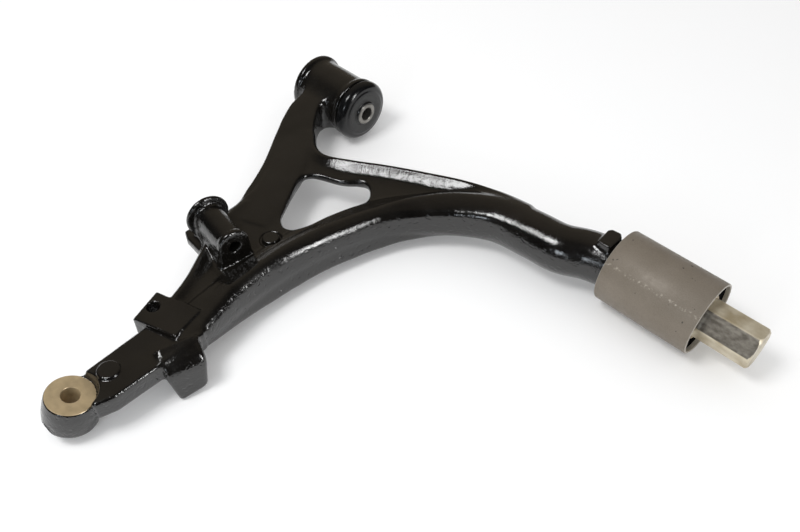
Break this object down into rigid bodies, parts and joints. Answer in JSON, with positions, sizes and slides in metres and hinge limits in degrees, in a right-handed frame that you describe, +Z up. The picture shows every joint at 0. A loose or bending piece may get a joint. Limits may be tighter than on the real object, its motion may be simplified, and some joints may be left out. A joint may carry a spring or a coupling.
{
  "type": "control arm",
  "caption": "Forged steel lower suspension arm with a bushed front eye, a large cylindrical rear bush on a hexagonal ended journal, a tapered ball stud seat and a damper lug.",
  "frame": {"origin": "centre of the front eye, on the common pivot axis of both bushes", "axes": "+X forward along the pivot axis, from the rear bush to the front eye; +Y outboard towards the ball stud seat; +Z up"},
  "size_m": [0.5395, 0.472, 0.079],
  "materials": {
    "black_paint": "gloss",
    "bush_shell_steel": "satin",
    "black_rubber": "satin",
    "tube_steel": "satin",
    "phosphated_steel": "satin",
    "machined_steel": "satin"
  },
  "bodies": {
    "arm": {"arm_forging": "black_paint", "front_bush_shell": "bush_shell_steel", "front_bush_rubber": "black_rubber", "rear_bush_liner": "machined_steel"},
    "front_tube": {"front_pivot_tube": "tube_steel"},
    "rear_bush": {"rear_bush_shell": "phosphated_steel", "rear_bush_rubber": "black_rubber"}
  },
  "joints": [
    {"name": "front_bush_twist", "type": "hinge", "parent": "arm", "child": "front_tube", "pos_m": [0, 0, 0], "axis": [1, 0, 0], "range_deg": [-25, 25], "stiffness_Nm_per_rad": 60},
    {"name": "rear_bush_twist", "type": "hinge", "parent": "arm", "child": "rear_bush", "pos_m": [-0.4115, 0, 0], "axis": [1, 0, 0], "range_deg": [-25, 25], "stiffness_Nm_per_rad": 90}
  ]
}
